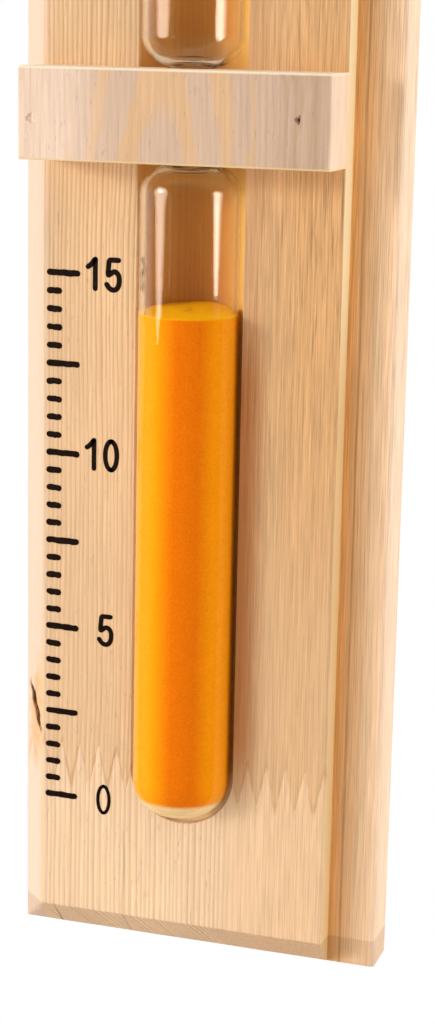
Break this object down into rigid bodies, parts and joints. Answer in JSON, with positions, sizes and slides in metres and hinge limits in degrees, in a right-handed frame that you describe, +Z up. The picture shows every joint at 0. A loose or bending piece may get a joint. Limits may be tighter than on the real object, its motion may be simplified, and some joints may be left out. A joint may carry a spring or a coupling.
{
  "type": "sauna sand timer",
  "caption": "Wall sand timer for a sauna: a bevelled pine board turns on a bolt and carries a closed glass of orange sand in its groove, under a wooden strap.",
  "frame": {"origin": "on the wall, on the axis of the pivot bolt, midway between the two wall screws", "axes": "+Z up along the board, -Y out of the wall towards the viewer, +X to the viewer's right"},
  "size_m": [0.0739, 0.0471, 0.3294],
  "materials": {
    "pine": "planed and sanded, bare",
    "pine_end": "planed and sanded, bare",
    "strap_pine": "planed and sanded, bare",
    "plate_pine": "planed, bare",
    "brad_steel": "dull, darkened",
    "clear_glass": "clear, polished",
    "orange_sand": "fine dry grains, matt",
    "zinc_steel": "zinc plated, satin",
    "nylon": "smooth, matt"
  },
  "bodies": {
    "wall_side": {"wall_plate": "plate_pine", "pivot_bolt": "zinc_steel", "bolt_washer": "zinc_steel", "friction_washer": "nylon", "nut_washer": "zinc_steel", "lock_nut": "zinc_steel"},
    "turning_board": {"board_main": "pine", "board_end": "pine_end", "strap": "strap_pine", "brad_left": "brad_steel", "brad_right": "brad_steel", "glass_tube": "clear_glass", "sand": "orange_sand"}
  },
  "joints": [
    {"name": "board_turn", "type": "hinge", "parent": "wall_side", "child": "turning_board", "pos_m": [0, -0.02, 0], "axis": [0, 1, 0], "continuous": true}
  ]
}
